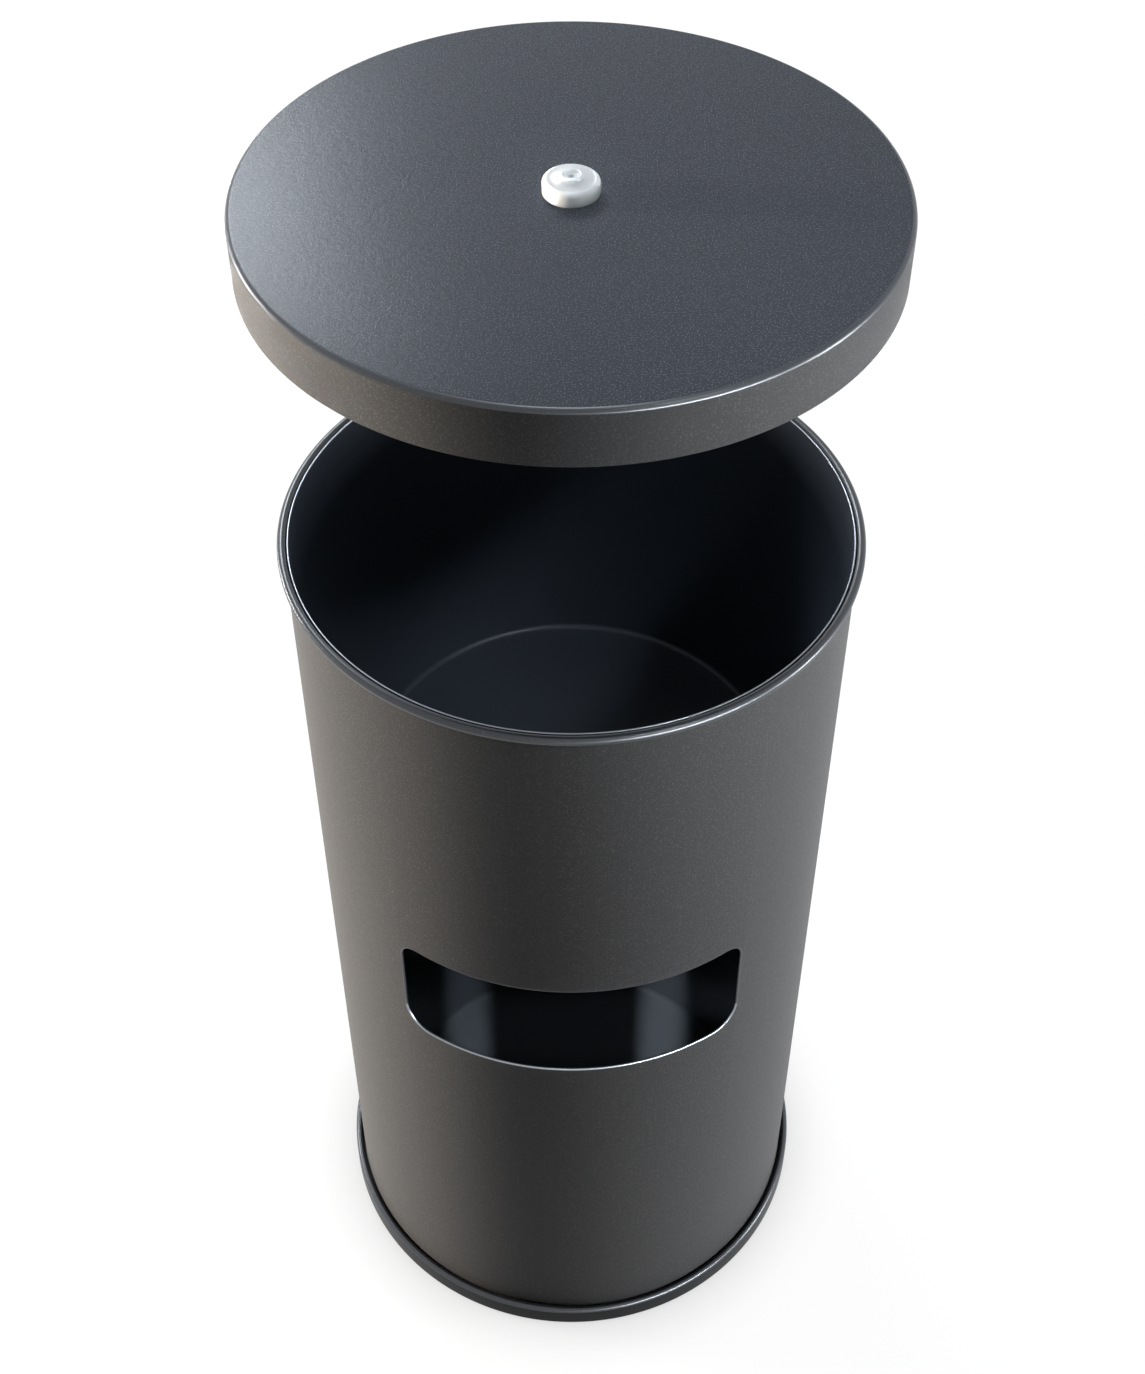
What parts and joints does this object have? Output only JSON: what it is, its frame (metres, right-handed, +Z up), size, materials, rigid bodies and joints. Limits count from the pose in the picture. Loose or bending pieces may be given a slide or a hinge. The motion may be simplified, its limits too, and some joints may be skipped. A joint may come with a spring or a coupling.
{
  "type": "wipes dispenser bin",
  "caption": "Tall round steel bin with a wide slot for used wipes, a tapered pan for a wipes roll in its mouth, and a lift-off cap lid with a dispensing nozzle.",
  "frame": {"origin": "centre of the feet's underside, on the floor", "axes": "+Z up along the body's axis; the waste slot faces -Y; +X is to the right of someone facing the slot"},
  "size_m": [0.2596, 0.2596, 0.6656],
  "materials": {
    "body_paint": "charcoal powder coat, satin",
    "lid_paint": "charcoal powder coat, fine orange peel, satin",
    "inner_paint": "smooth dark blue-black paint, semi-gloss",
    "ring_plastic": "dark moulded plastic, satin",
    "pail_plastic": "black moulded plastic, satin",
    "foot_rubber": "black rubber, matte",
    "screw_steel": "zinc plated",
    "gasket_rubber": "black foam rubber, matte",
    "nozzle_plastic": "natural translucent plastic",
    "cap_plastic": "milky translucent plastic, glossy",
    "valve_silicone": "soft white silicone"
  },
  "bodies": {
    "bin": {"body_shell": "body_paint", "base_floor": "inner_paint", "base_ring": "ring_plastic", "foot_1": "foot_rubber", "foot_2": "foot_rubber", "foot_3": "foot_rubber", "foot_4": "foot_rubber", "base_screws": "screw_steel", "waste_pail": "pail_plastic", "wipes_pan": "inner_paint", "bracket_1": "inner_paint", "bracket_2": "inner_paint", "bracket_3": "inner_paint"},
    "lid": {"lid_cap": "lid_paint", "lid_gasket": "gasket_rubber", "nozzle_stem": "nozzle_plastic", "nozzle_valve": "valve_silicone", "nozzle_washer": "gasket_rubber", "nozzle_nut": "nozzle_plastic"},
    "dispensing_cap": {"nozzle_cap": "cap_plastic"}
  },
  "joints": [
    {"name": "lid_lift", "type": "slide", "parent": "bin", "child": "lid", "axis": [0, 0, 1], "range_m": [-0.1643, 0.04]},
    {"name": "nozzle_turn", "type": "hinge", "parent": "lid", "child": "dispensing_cap", "pos_m": [0, 0, 0.6606], "axis": [0, 0, 1], "range_deg": [0, 90]}
  ]
}
